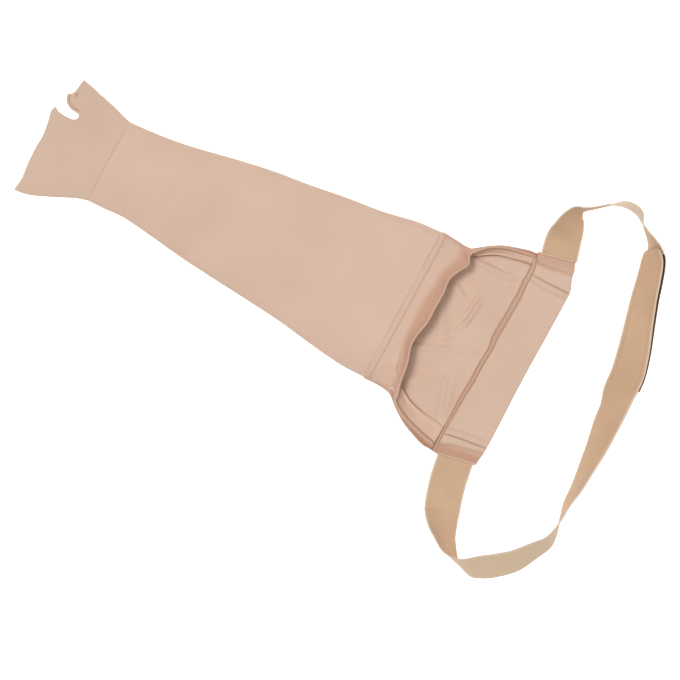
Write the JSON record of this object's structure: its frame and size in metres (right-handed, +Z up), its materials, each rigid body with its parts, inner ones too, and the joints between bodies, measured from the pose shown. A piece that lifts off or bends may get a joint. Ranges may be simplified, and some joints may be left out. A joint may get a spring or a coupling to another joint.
{
  "type": "arm compression sleeve with hand piece and shoulder strap",
  "caption": "Knitted compression arm sleeve with a thumb-holed hand piece, a shoulder panel and an adjustable hook-and-loop shoulder strap, lying flat.",
  "frame": {"origin": "under the narrowest place of the wrist, on the surface that the sleeve lies on", "axes": "+X along the arm from the wrist to the shoulder, +Y towards the thumb's side, +Z up from the surface"},
  "size_m": [0.6848, 0.4297, 0.038],
  "materials": {
    "knit": "matt beige compression knit",
    "hem_knit": "matt beige knit of the doubled hem",
    "seam_thread": "overlocked seam in beige thread",
    "webbing": "ribbed elastic webbing",
    "hook_tape": "hook tape",
    "loop_tape": "loop tape"
  },
  "bodies": {
    "root": {"hand_piece": "knit", "arm_sleeve": "knit", "upper_band": "hem_knit", "hem_facing": "hem_knit", "shoulder_seam": "seam_thread", "shoulder_band": "knit", "upper_strap": "webbing", "lower_strap": "webbing", "hook_tape": "hook_tape", "loop_tape": "loop_tape"}
  },
  "joints": []
}
